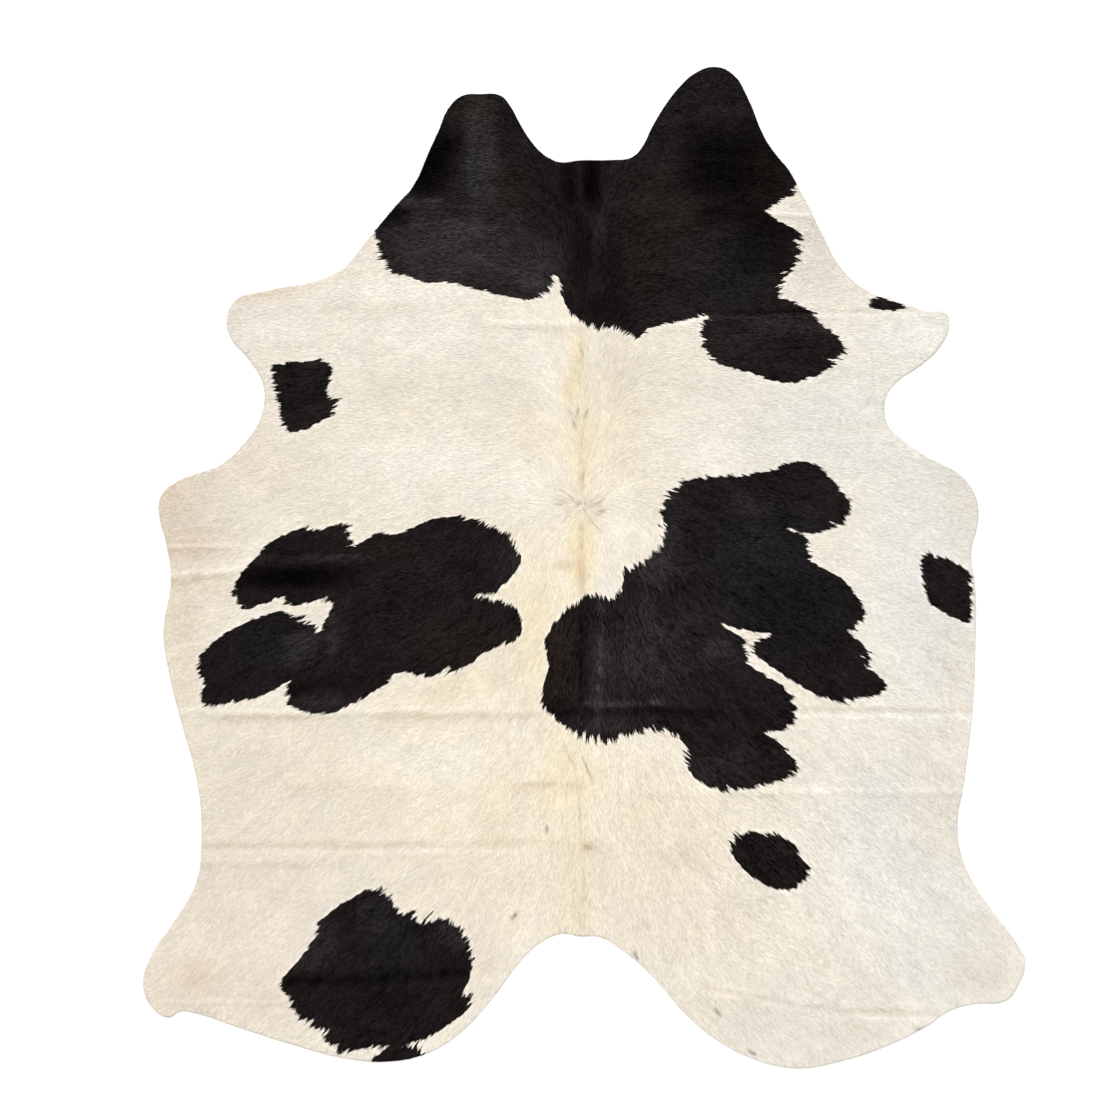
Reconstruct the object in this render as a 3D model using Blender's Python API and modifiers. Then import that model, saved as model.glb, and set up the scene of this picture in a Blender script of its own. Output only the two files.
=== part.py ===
"""A natural cowhide rug lying flat on the floor.

One hair-on hide, trimmed round its own outline. The head end points to +Y, the spine runs along Y,
the hair side faces +Z and the flesh side rests on the floor at Z = 0. The origin is under the middle
of the hide's bounding box.
"""
import math
from collections import namedtuple

import bmesh
import bpy
from mathutils import Vector

MM = 0.001

COLLECTION_NAME = "cowhide rug"
NODE_NAME = "hide"

# Driving sizes: the skin with its coat lying flat on it, and how finely its edge is drawn
HIDE_THICKNESS = 3.0 * MM
STEPS_PER_LANDMARK = 4
WELD_DISTANCE = 0.1 * MM
CUT_TOLERANCE = 0.02 * MM

# A fold line's rows, as shares of its half width, and its steps along, in millimetres
FOLD_ROWS = (-1.0, -0.6, -0.25, 0.0, 0.25, 0.6, 1.0)
FOLD_STEP = 95
FOLD_FADE = 90
FOLD_WAVE = 310
FOLD_UNEVENNESS = 0.2

# Where a lifted tip bends, as shares of its reach, and how far to each side it reaches
TIP_ROWS = (0.0, 0.35, 0.7)
TIP_SPREAD = 150

# Finish
COAT_COLOUR = (0.84, 0.77, 0.67, 1.0)
COAT_ROUGHNESS = 0.6

# The cut edge, clockwise from the left cheek. Each landmark is (across, along) in millimetres, and
# the edge runs through all of them as one smooth curve.
Stretch = namedtuple("Stretch", "name landmarks")
CUT_EDGE = (
    Stretch("left cheek", ((-270, 1036), (-228, 1040), (-185, 1037), (-164, 1015), (-143, 977))),
    Stretch("poll", ((-118, 937), (-86, 904), (-55, 890), (-10, 894), (60, 895), (105, 901))),
    Stretch("right cheek", ((129, 927), (148, 966), (187, 1029), (212, 1059), (240, 1084), (285, 1100))),
    Stretch("right nape", ((327, 1083), (358, 1034), (396, 944), (421, 907), (449, 873), (478, 820))),
    Stretch("right neck", ((494, 790), (518, 741), (568, 652), (635, 600), (670, 589))),
    Stretch("right foreleg", ((707, 578), (747, 562), (793, 558), (801, 540), (784, 490), (740, 445))),
    Stretch("right armpit", ((691, 412), (666, 382), (659, 348), (666, 315), (688, 288), (752, 243))),
    Stretch("right elbow", ((788, 225), (824, 204), (861, 153), (865, 100), (850, 32))),
    Stretch("right flank", ((860, -50), (860, -160), (855, -295), (835, -470), (820, -570))),
    Stretch("right hock", ((834, -650), (892, -750), (957, -837), (969, -870), (955, -914), (927, -951))),
    Stretch("right shank", ((860, -960), (805, -974), (748, -1012), (664, -1053))),
    Stretch("right rump", ((565, -1086), (470, -1102), (376, -1083), (286, -1036), (215, -975))),
    Stretch("tail", ((155, -905), (94, -850), (34, -813), (-10, -811), (-52, -806), (-98, -826))),
    Stretch("left rump", ((-146, -872), (-210, -957), (-280, -1029), (-346, -1069), (-425, -1087))),
    Stretch("left shank", ((-525, -1080), (-640, -1050), (-752, -1015), (-855, -981), (-890, -976))),
    Stretch("left hock", ((-914, -989), (-946, -971), (-970, -925), (-960, -870), (-896, -770))),
    Stretch("left flank", ((-854, -695), (-842, -600), (-852, -470), (-884, -350), (-914, -230))),
    Stretch("left belly", ((-926, -140), (-909, -30), (-919, 50))),
    Stretch("left elbow", ((-936, 118), (-930, 158), (-893, 189), (-848, 207), (-810, 219))),
    Stretch("left armpit", ((-776, 243), (-756, 263), (-712, 328), (-706, 400), (-741, 461))),
    Stretch("left foreleg", ((-779, 508), (-785, 550), (-765, 588), (-705, 606), (-650, 617))),
    Stretch("left withers", ((-601, 625), (-562, 639), (-526, 660), (-484, 711), (-413, 796))),
    Stretch("left nape", ((-378, 835), (-339, 920), (-319, 963), (-302, 1004))),
)

# Fold lines left from when the hide was folded up for its journey. Each is a soft ridge from start
# to end, in millimetres, and one that runs off the hide ends beyond its edge. The width is that of
# the whole ridge.
Fold = namedtuple("Fold", "name start end width height")
FOLDS = (
    Fold("spine", (0, 980), (-8, -900), 44, 4.0),
    Fold("neck", (-510, 800), (610, 775), 60, 4.0),
    Fold("shoulder", (-300, 530), (895, 562), 60, 4.5),
    Fold("left elbow, upper", (-1010, 45), (-560, 42), 50, 3.0),
    Fold("left elbow, lower", (-1010, -15), (-500, -8), 50, 4.0),
    Fold("waist", (-990, -326), (955, -318), 60, 5.0),
    Fold("loin", (-690, -486), (930, -484), 50, 3.0),
    Fold("rump", (-940, -615), (60, -604), 50, 4.5),
    Fold("left rump", (-940, -651), (-350, -648), 36, 2.5),
    Fold("left hock", (-990, -961), (-120, -922), 60, 5.0),
    Fold("right hock, inner", (130, -919), (530, -968), 60, 4.5),
    Fold("right hock, outer", (430, -960), (870, -985), 60, 5.0),
)

# Tips that curl off the floor. Each lifts from its hinge, in the given direction, and is at its full
# height one reach further on, in millimetres.
Tip = namedtuple("Tip", "name hinge direction reach height")
TIPS = (
    Tip("left foreleg", (-700, 550), (-1.0, 0.25), 85, 6.0),
    Tip("right foreleg", (730, 505), (1.0, 0.35), 80, 5.0),
    Tip("left hock", (-895, -915), (-1.0, -0.55), 85, 5.0),
    Tip("right hock", (885, -890), (1.0, -0.45), 85, 5.0),
)


def clear_scene():
    """Removes every object, so that the hide stands alone."""
    for item in list(bpy.data.objects):
        bpy.data.objects.remove(item, do_unlink=True)


def coat_material():
    """The coat's usual colour, an off-white cream."""
    material = bpy.data.materials.new("cowhide")
    material.use_nodes = True
    shader = material.node_tree.nodes["Principled BSDF"]
    shader.inputs["Base Color"].default_value = COAT_COLOUR
    shader.inputs["Roughness"].default_value = COAT_ROUGHNESS
    shader.inputs["Metallic"].default_value = 0.0
    return material


def floor_point(place):
    """A place on the floor, in metres, from its (across, along) in millimetres."""
    return Vector((place[0] * MM, place[1] * MM, 0.0))


def cut_edge_curve():
    """The outline as a filled flat curve, smooth through its landmarks."""
    curve = bpy.data.curves.new("cut edge", "CURVE")
    curve.dimensions = "2D"
    curve.fill_mode = "BOTH"
    curve.resolution_u = STEPS_PER_LANDMARK
    landmarks = [landmark for stretch in CUT_EDGE for landmark in stretch.landmarks]
    spline = curve.splines.new("BEZIER")
    spline.bezier_points.add(len(landmarks) - 1)
    for knot, landmark in zip(spline.bezier_points, landmarks):
        knot.co = floor_point(landmark)
        knot.handle_left_type = "AUTO"
        knot.handle_right_type = "AUTO"
    spline.use_cyclic_u = True
    return curve


def flat_hide():
    """The hide as one flat face."""
    outline = bpy.data.objects.new("cut edge", cut_edge_curve())
    bpy.context.scene.collection.objects.link(outline)
    evaluated = outline.evaluated_get(bpy.context.evaluated_depsgraph_get())
    filled = bpy.data.meshes.new_from_object(evaluated)
    hide = bmesh.new()
    hide.from_mesh(filled)
    bpy.data.objects.remove(outline, do_unlink=True)
    bpy.data.meshes.remove(filled)
    bmesh.ops.remove_doubles(hide, verts=hide.verts, dist=WELD_DISTANCE)
    bmesh.ops.dissolve_faces(hide, faces=hide.faces, use_verts=False)
    return hide


def cut(hide, faces, point, normal):
    """Cuts the given faces along the upright plane through a point."""
    edges = {edge for face in faces for edge in face.edges}
    corners = {corner for face in faces for corner in face.verts}
    geometry = list(faces) + list(edges) + list(corners)
    bmesh.ops.bisect_plane(hide, geom=geometry, dist=CUT_TOLERANCE, plane_co=point, plane_no=normal)


def fold_axes(fold):
    """A fold line's start, its length, and its directions along and across."""
    start = floor_point(fold.start)
    line = floor_point(fold.end) - start
    along = line.normalized()
    return start, line.length, along, Vector((-along.y, along.x, 0.0))


def cut_fold_rows(hide, fold):
    """Cuts the rows that let a fold line rise."""
    start, _, _, across = fold_axes(fold)
    half = fold.width * MM / 2
    for row in FOLD_ROWS:
        cut(hide, hide.faces[:], start + across * half * row, across)


def cut_fold_steps(hide, fold):
    """Cuts a fold line's strip into steps, so that its height can change along it."""
    start, length, along, across = fold_axes(fold)
    half = fold.width * MM / 2
    steps = math.ceil(length / (FOLD_STEP * MM))
    for step in range(1, steps):
        strip = [face for face in hide.faces if abs((face.calc_center_median() - start).dot(across)) < half]
        cut(hide, strip, start + along * length * step / steps, along)


def fold_height(fold, place):
    """How far one fold line lifts the hide at a place."""
    start, length, along, across = fold_axes(fold)
    offset = place - start
    beside = abs(offset.dot(across)) / (fold.width * MM / 2)
    ahead = offset.dot(along)
    if beside >= 1.0 or not 0.0 < ahead < length:
        return 0.0
    ridge = 0.5 + 0.5 * math.cos(math.pi * beside)
    fade = min(1.0, ahead / (FOLD_FADE * MM), (length - ahead) / (FOLD_FADE * MM))
    wave = 1.0 - FOLD_UNEVENNESS * (0.5 + 0.5 * math.sin(math.tau * ahead / (FOLD_WAVE * MM)))
    return fold.height * MM * ridge * fade * wave


def tip_axes(tip):
    """A lifted tip's hinge and its directions outwards and sideways."""
    outwards = Vector((*tip.direction, 0.0)).normalized()
    return floor_point(tip.hinge), outwards, Vector((-outwards.y, outwards.x, 0.0))


def cut_tip(hide, tip):
    """Cuts the rows along which a tip bends upwards."""
    hinge, outwards, _ = tip_axes(tip)
    for row in TIP_ROWS:
        near = [
            face
            for face in hide.faces
            if any((corner.co - hinge).length < TIP_SPREAD * MM for corner in face.verts)
        ]
        cut(hide, near, hinge + outwards * row * tip.reach * MM, outwards)


def tip_height(tip, place):
    """How far one tip's curl lifts the hide at a place."""
    hinge, outwards, sideways = tip_axes(tip)
    offset = place - hinge
    ahead = offset.dot(outwards) / (tip.reach * MM)
    if ahead <= 0.0 or abs(offset.dot(sideways)) > TIP_SPREAD * MM:
        return 0.0
    return tip.height * MM * ahead * ahead


def height_at(place):
    """How far the flesh side is off the floor at a place."""
    ridges = max(fold_height(fold, place) for fold in FOLDS)
    return ridges + max(tip_height(tip, place) for tip in TIPS)


def centre_on_origin(hide):
    """Puts the middle of the hide's bounding box over the origin."""
    across = [corner.co.x for corner in hide.verts]
    along = [corner.co.y for corner in hide.verts]
    middle = Vector(((min(across) + max(across)) / 2, (min(along) + max(along)) / 2, 0.0))
    bmesh.ops.translate(hide, verts=hide.verts, vec=-middle)


def hide_mesh():
    """The flesh side as a surface, with its fold lines and lifted tips."""
    hide = flat_hide()
    for fold in FOLDS:
        cut_fold_rows(hide, fold)
    for fold in FOLDS:
        cut_fold_steps(hide, fold)
    for tip in TIPS:
        cut_tip(hide, tip)
    for corner in hide.verts:
        corner.co.z = height_at(corner.co)
    centre_on_origin(hide)
    bmesh.ops.triangulate(hide, faces=hide.faces)
    mesh = bpy.data.meshes.new(NODE_NAME)
    hide.to_mesh(mesh)
    hide.free()
    mesh.shade_smooth()
    return mesh


def build_hide(collection):
    """The whole rug: the skin with its coat, one sheet of even thickness."""
    hide = bpy.data.objects.new(NODE_NAME, hide_mesh())
    hide.data.materials.append(coat_material())
    collection.objects.link(hide)
    skin = hide.modifiers.new("skin and coat", "SOLIDIFY")
    skin.thickness = HIDE_THICKNESS
    skin.offset = 1.0
    skin.use_even_offset = True


def main():
    clear_scene()
    collection = bpy.data.collections.new(COLLECTION_NAME)
    bpy.context.scene.collection.children.link(collection)
    build_hide(collection)


main()
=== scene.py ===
"""A cut-out cowhide rug as it looks: the tanned skin with its fold lines, the short black and cream
coat that lies on it lock by lock, and a plain pale stage seen from straight above."""

import functools
import math
from collections import namedtuple

import bmesh
import bpy
import numpy as np
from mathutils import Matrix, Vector


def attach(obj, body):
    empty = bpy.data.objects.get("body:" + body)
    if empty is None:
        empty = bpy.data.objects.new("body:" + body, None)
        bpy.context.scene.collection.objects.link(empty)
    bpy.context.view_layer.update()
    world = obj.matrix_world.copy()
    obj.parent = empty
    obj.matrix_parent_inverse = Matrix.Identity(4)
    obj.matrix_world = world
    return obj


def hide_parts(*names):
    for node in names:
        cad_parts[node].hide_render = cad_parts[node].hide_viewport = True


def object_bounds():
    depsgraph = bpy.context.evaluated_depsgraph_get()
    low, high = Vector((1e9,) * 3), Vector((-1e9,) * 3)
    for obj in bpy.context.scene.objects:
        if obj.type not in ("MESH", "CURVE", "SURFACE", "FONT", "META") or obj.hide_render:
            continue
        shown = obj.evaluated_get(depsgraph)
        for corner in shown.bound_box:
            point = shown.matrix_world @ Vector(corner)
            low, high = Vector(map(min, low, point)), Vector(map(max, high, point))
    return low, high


bl_info = {
    "name": "Cowhide rug",
    "version": (1, 0, 0),
    "blender": (4, 5, 0),
    "location": "View3D > Sidebar > Cowhide",
    "description": "Dresses a flat cut-out cowhide with its skin, its black and cream coat and a stage",
    "category": "Add Mesh",
}

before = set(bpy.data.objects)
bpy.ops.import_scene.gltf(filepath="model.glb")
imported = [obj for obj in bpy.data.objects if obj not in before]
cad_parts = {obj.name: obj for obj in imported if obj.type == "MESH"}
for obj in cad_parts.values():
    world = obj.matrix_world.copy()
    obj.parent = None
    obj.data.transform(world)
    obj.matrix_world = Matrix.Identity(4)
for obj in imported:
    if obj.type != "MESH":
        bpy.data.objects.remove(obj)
CAD_BOX = [list(corner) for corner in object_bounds()]

MM = 0.001

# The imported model's names
HIDE_NODE = "hide"
BODY = "root"
CREAM_SLOT = "cream_coat"
BLACK_SLOT = "black_coat"

# Points of the CAD node that are this close are one, and its underside's normals point down this far
SAME_POINT = 0.05 * MM
UNDERSIDE = -0.8

# All places below are (across, along) in millimetres from the middle of the hide, the head at the top
WHORL = (-6.0, 135.0)

# A line from start to end, how wide it is, and how strong, or in a fold line how high
Line = namedtuple("Line", "start end width strength")

# The tables below list rows of numbers by their place on the hide. A line's row is its start, its end,
# its width and its strength.

# Fold lines left from when the hide was folded up: broad soft ridges
FOLDS = (
    ("spine", (0, 980, -2, 540, 50, 1.2), (-2, 620, -8, -900, 50, 2.0)),
    ("neck", (-510, 800, 610, 775, 76, 1.5)),
    ("shoulder", (-300, 530, 895, 562, 76, 2.0)),
    ("right armpit", (330, 300, 760, 300, 110, 1.6)),
    ("left elbow", (-1010, 45, -560, 42, 60, 1.6), (-1010, -15, -420, 2, 64, 1.8)),
    ("waist", (-990, -318, -10, -316, 76, 1.8), (-140, -310, 955, -322, 76, 2.2)),
    ("loin", (-690, -484, 930, -492, 64, 1.2)),
    ("rump", (-940, -617, 60, -610, 64, 1.8)),
    ("left rump", (-940, -640, -450, -638, 44, 1.2)),
    ("left hock", (-990, -948, -120, -912, 76, 2.2)),
    ("right hock", (230, -938, 870, -996, 76, 2.0)),
)
FOLD_FADE = 90
FOLD_WAVE = 310
FOLD_UNEVENNESS = 0.2

# Creases, sharper than the folds they run along: ridges, and grooves where the height is below zero
CREASES = (
    ("neck",
     (-425, 800, -190, 797, 24, -2.0), (-280, 786, -60, 716, 18, -0.8), (385, 776, 520, 772, 20, 2.0)),
    ("shoulder", (-240, 535, 10, 534, 24, 2.0), (230, 556, 780, 562, 22, -2.0)),
    ("right armpit", (380, 299, 700, 302, 50, -2.0)),
    ("left elbow", (-970, 42, -750, 46, 20, 1.8), (-970, -26, -740, -8, 26, 2.2)),
    ("left ribs", (-740, 13, -430, 14, 34, 1.5)),
    ("waist",
     (-960, -320, -60, -318, 28, 2.0), (-110, -309, 260, -307, 18, 1.6), (440, -319, 960, -321, 30, -2.4)),
    ("loin", (-170, -482, 10, -480, 22, -1.4), (250, -495, 880, -495, 24, 1.3)),
    ("rump", (-880, -618, -70, -613, 30, -2.0)),
    ("left rump", (-880, -652, -600, -648, 30, 1.1)),
    ("left hock", (-930, -957, -640, -955, 20, 1.2)),
    ("right hock", (220, -915, 545, -978, 26, -1.8), (470, -976, 810, -984, 26, -2.2)),
)
CREASE_FADE = 45

# Tips that curl off the floor, each from its hinge in the given direction
Tip = namedtuple("Tip", "name hinge direction reach height")
TIPS = (
    Tip("left foreleg", (-700, 550), (-1.0, 0.25), 85, 6.0),
    Tip("right foreleg", (730, 505), (1.0, 0.35), 80, 5.0),
    Tip("left hock", (-895, -915), (-1.0, -0.55), 85, 5.0),
    Tip("right hock", (885, -890), (1.0, -0.45), 85, 5.0),
)
TIP_SPREAD = 150
TIP_SIDE_FADE = 40

# Between the fold lines the skin lies on the floor with a slight unevenness
SWELL_SIZE = 210
SWELL_HEIGHT = 0.9

# The black markings. Each is a closed outline through its landmarks, and one that reaches the cut
# edge runs on beyond it.
MARKINGS = {
    "head and neck": (
        (-461, 735), (-450, 697), (-437, 661), (-392, 639), (-345, 625), (-300, 627), (-205, 605),
        (-128, 589), (-86, 599), (-73, 618), (-72, 634), (-62, 641), (-52, 621), (-49, 597), (-38, 571),
        (-17, 548), (6, 531), (34, 527), (76, 522), (118, 500), (147, 527), (230, 543), (270, 555),
        (255, 523), (259, 500), (277, 465), (303, 446), (367, 428), (440, 406), (510, 423), (574, 474),
        (554, 510), (516, 538), (493, 570), (427, 600), (443, 634), (473, 693), (468, 738), (436, 757),
        (401, 782), (428, 801), (468, 839), (560, 1000), (380, 1190), (-60, 1200), (-380, 1140),
        (-520, 880),
    ),
    "left shoulder": (
        (-682, 446), (-612, 453), (-575, 458), (-553, 439), (-562, 402), (-562, 380), (-542, 365),
        (-574, 323), (-652, 300), (-675, 372), (-676, 400), (-688, 419),
    ),
    "left ribs": (
        (-766, -62), (-757, -20), (-722, 23), (-685, 59), (-625, 84), (-570, 88), (-518, 95), (-511, 47),
        (-454, 75), (-405, 74), (-376, 88), (-337, 105), (-275, 112), (-200, 91), (-152, 47), (-140, 4),
        (-186, -46), (-206, -57), (-238, -62), (-206, -69), (-165, -79), (-139, -105), (-143, -154),
        (-221, -187), (-260, -222), (-352, -241), (-399, -229), (-459, -272), (-530, -309), (-570, -322),
        (-637, -311), (-653, -271), (-650, -252), (-724, -287), (-837, -302), (-838, -258), (-845, -205),
        (-822, -172), (-782, -139), (-722, -112), (-669, -97), (-612, -118), (-580, -139), (-570, -118),
        (-557, -91), (-557, -71), (-584, -73), (-645, -83), (-665, -66), (-700, -77), (-740, -91),
    ),
    "right ribs": (
        (173, 116), (178, 150), (229, 194), (343, 204), (403, 213), (468, 232), (514, 223), (570, 165),
        (588, 134), (549, 84), (480, 76), (462, 84), (438, 93), (458, 80), (482, 70), (507, 12),
        (550, -14), (580, -38), (609, -73), (614, -112), (594, -146), (628, -184), (629, -221),
        (665, -263), (606, -293), (556, -294), (512, -279), (464, -254), (417, -222), (370, -187),
        (376, -162), (410, -145), (356, -138), (303, -126), (352, -160), (362, -212), (446, -266),
        (459, -300), (462, -336), (426, -362), (391, -360), (428, -384), (456, -414), (467, -447),
        (398, -477), (337, -491), (295, -487), (252, -471), (224, -432), (223, -385), (173, -359),
        (101, -364), (53, -387), (10, -377), (-26, -358), (-92, -302), (-78, -213), (-88, -166),
        (-60, -115), (8, -61), (76, -70), (84, -40), (91, -12), (136, 16), (173, 56),
    ),
    "right flank": (
        (740, 20), (772, 25), (815, 10), (843, -6), (852, -18), (852, -70), (849, -118), (838, -122),
        (765, -81), (745, -34),
    ),
    "right thigh": (
        (321, -615), (356, -582), (446, -595), (481, -642), (497, -666), (472, -696), (437, -712),
        (371, -681), (334, -644),
    ),
    "left thigh": (
        (-510, -727), (-469, -709), (-424, -724), (-411, -749), (-382, -764), (-349, -780),
        (-305, -772), (-258, -809), (-248, -858), (-251, -904), (-262, -930), (-250, -966),
        (-335, -1028), (-410, -1052), (-452, -1052), (-505, -1062), (-540, -1063), (-566, -1042),
        (-576, -1017), (-628, -989), (-653, -940), (-667, -911), (-637, -874), (-590, -812),
        (-588, -785), (-558, -757),
    ),
    "left rump": ((-466, -1088), (-428, -1057), (-396, -1051), (-357, -1057), (-368, -1110)),
    "right foreleg": (
        (628, 574), (633, 589), (642, 596), (663, 592), (685, 583), (707, 571), (663, 565),
    ),
}
MARKING_STEPS = 5

# Where the coat's colour leans to one side, in families of a colour, and by place on the hide. Each row
# is a soft patch in millimetres: its middle, its two radii, how strong it is there, and by how many
# degrees it is turned.
Tint = namedtuple("Tint", "across along wide long strength turn", defaults=(0,))
TINTS = {
    "yellow": (
        ("shoulders", (-14, 450, 30, 110, 0.5), (-32, 395, 34, 56, 0.8, -14), (-300, 398, 160, 70, 0.2)),
        ("withers", (-8, 250, 44, 150, 0.58), (10, 280, 180, 170, 0.36)),
        ("back", (-6, 30, 40, 120, 0.72), (-110, -140, 90, 210, 0.43)),
        ("ribs", (-260, -262, 200, 50, 0.36, 14)),
        ("waist", (-300, -365, 170, 70, 0.34)),
        ("loin",
         (-190, -470, 70, 160, 0.46), (-50, -460, 110, 160, 0.5), (-290, -470, 400, 190, 0.22),
         (150, -580, 190, 150, 0.3)),
        ("croup", (-14, -690, 60, 260, 0.36), (-200, -690, 300, 120, 0.18)),
    ),
    "tan": (
        ("shoulders", (-26, 398, 32, 42, 0.26)),
        ("forelegs", (-690, 600, 100, 16, 0.45, 8)),
        ("elbows",
         (-900, 140, 60, 120, 0.65), (-882, 54, 80, 46, 0.9), (-850, -36, 60, 60, 0.3),
         (848, 100, 26, 60, 0.5)),
        ("back", (-8, 0, 14, 34, 0.85)),
        ("sides", (-880, -110, 50, 200, 0.35)),
        ("loin", (-26, -478, 36, 16, 0.35)),
        ("croup", (8, -614, 20, 12, 1.0), (44, -614, 34, 10, 0.4)),
        ("rump", (200, -640, 56, 36, 0.22, 10)),
        ("hocks",
         (-870, -910, 120, 70, 0.3, 20), (-845, -908, 54, 54, 0.75), (880, -880, 60, 50, 0.3),
         (868, -886, 30, 18, 0.3)),
    ),
    "neutral": (
        ("neck", (505, 690, 80, 130, 0.8)),
        ("shoulders", (640, 300, 400, 210, 0.72), (-270, 410, 190, 70, 0.35)),
        ("forelegs", (740, 500, 200, 110, 0.65), (-700, 530, 120, 60, 0.4)),
        ("sides", (780, 0, 220, 450, 0.95)),
        ("thighs", (740, -620, 260, 290, 0.95), (500, -1010, 280, 120, 0.75)),
        ("hocks", (800, -880, 260, 160, 0.8)),
    ),
    # Duller, darker patches of the pale coat; the narrow ones on the fold lines at the shoulders and the
    # right armpit are painted shade
    "dull_and_fold_shade": (
        ("neck", (505, 690, 80, 130, 0.54), (-552, 610, 36, 60, 0.2)),
        ("shoulders", (-430, 572, 70, 16, 0.3, -6), (-250, 534, 40, 12, 0.4, -6)),
        ("elbows",
         (-690, 215, 120, 70, 0.22, 20), (-880, 120, 120, 130, 0.65), (820, 150, 80, 110, 0.3),
         (640, 312, 170, 18, 0.25)),
        ("withers", (70, 450, 50, 90, 0.4)),
        ("sides",
         (780, -560, 120, 150, 0.5), (815, -180, 60, 200, 0.3), (-560, 210, 130, 60, 0.26),
         (-770, 260, 90, 80, 0.34)),
        ("waist", (-700, -440, 220, 170, 0.38)),
        ("croup", (-280, -680, 150, 80, 0.26), (120, -610, 150, 120, 0.35)),
        ("rump", (200, -760, 280, 180, 0.48), (-225, -850, 70, 120, 0.4), (-640, -590, 80, 60, 0.3)),
        ("thighs", (-800, -660, 270, 170, 0.46), (400, -980, 330, 130, 0.52), (580, -1010, 90, 50, 0.7)),
        ("hocks", (-750, -940, 210, 80, 0.7), (860, -890, 130, 70, 0.4)),
    ),
    # Dark where the coat parts in the whorl's middle: the darker hair bases, with the shade in the parting
    # painted
    "parted": (
        ("whorl", (-6, 135, 12, 12, 0.5)),
    ),
    "speck": (
        ("whorl", (-8, 137, 8, 10, 0.45)),
    ),
    "rosy": (
        ("forelegs", (-640, 560, 160, 80, 0.2)),
        ("elbows", (-740, 250, 130, 130, 0.3), (-870, 30, 70, 130, 0.25)),
        ("thighs", (-760, -800, 240, 260, 0.35)),
    ),
    "white": (
        ("head", (-400, 606, 240, 34, 0.45)),
        ("shoulders", (-330, 516, 260, 70, 0.36)),
        ("forelegs", (728, 520, 160, 70, 0.5)),
        ("withers", (-290, 225, 230, 90, 0.34), (210, 250, 170, 80, 0.25), (-70, 400, 50, 110, 0.36)),
        ("whorl", (-125, 186, 120, 80, 0.48), (80, 140, 80, 110, 0.24)),
        ("back", (40, -10, 30, 60, 0.2)),
        ("loin", (-280, -420, 230, 110, 0.36)),
    ),
    # Painted sheen: panels of the black coat painted lighter and greyer where the combed hair catches the
    # light
    "painted_sheen": (
        ("head",
         (-226, 905, 38, 130, 0.5), (-270, 705, 166, 92, 0.6), (-130, 655, 80, 70, 0.55),
         (-190, 775, 90, 22, 0.3)),
        ("neck", (34, 740, 16, 40, 0.3)),
        ("shoulders", (330, 480, 70, 60, 0.2, 10), (450, 532, 100, 26, 0.4)),
        ("ribs",
         (140, -180, 110, 110, 0.4), (180, 116, 40, 76, 0.25), (160, 0, 56, 60, 0.42, 30),
         (372, 140, 50, 26, 0.24), (285, -190, 50, 40, 0.35), (388, 66, 44, 28, 0.15),
         (290, -440, 80, 40, 0.2, 10), (80, -340, 100, 30, 0.35), (-576, -290, 50, 18, 0.3),
         (-622, -178, 44, 40, 0.45), (-160, 10, 30, 60, 0.16)),
        ("thighs", (-600, -820, 60, 70, 0.4), (-462, -760, 40, 50, 0.3), (-290, -800, 50, 40, 0.4)),
    ),
    # Painted shade: panels of the black coat painted darker where the combed hair loses the light
    "painted_shade": (
        ("head",
         (-346, 892, 62, 92, 1.0, -20), (-434, 772, 60, 26, 1.0), (-34, 840, 22, 56, 0.7),
         (16, 846, 22, 62, 1.0), (310, 890, 110, 96, 0.85), (400, 868, 60, 80, 0.6),
         (350, 790, 110, 34, 0.7)),
        ("neck",
         (-8, 690, 22, 100, 0.4), (66, 660, 26, 90, 0.3), (396, 712, 76, 80, 0.6), (40, 572, 80, 36, 0.5)),
        ("ribs",
         (-650, -22, 140, 28, 0.95), (-622, -270, 50, 18, 0.6), (-660, 44, 120, 36, 0.28),
         (-810, -270, 40, 24, 0.3), (-560, -250, 90, 16, 0.3), (440, -80, 110, 90, 0.3, 20),
         (-45, -306, 44, 26, 0.5)),
    ),
    "brown": (
        ("head", (-240, 1010, 50, 40, 0.4), (-180, 840, 50, 50, 0.4), (400, 860, 60, 70, 0.35)),
        ("neck", (180, 720, 110, 170, 0.22)),
        ("ribs", (-50, -205, 30, 110, 0.6), (-270, -170, 90, 50, 0.4), (-440, 40, 60, 20, 0.4)),
    ),
    "cold": (
        ("head", (-226, 860, 50, 60, 0.4)),
        ("neck", (300, 640, 120, 90, 0.3)),
        ("ribs", (430, -40, 150, 180, 0.6, 20), (-700, -170, 90, 70, 0.4)),
        ("thighs", (-420, -820, 80, 110, 0.4)),
    ),
    "rough": (
        ("ribs", (220, -130, 280, 300, 0.25)),
        ("sides", (760, -200, 200, 300, 0.3)),
        ("thighs", (420, -620, 460, 330, 0.55)),
    ),
}
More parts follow.
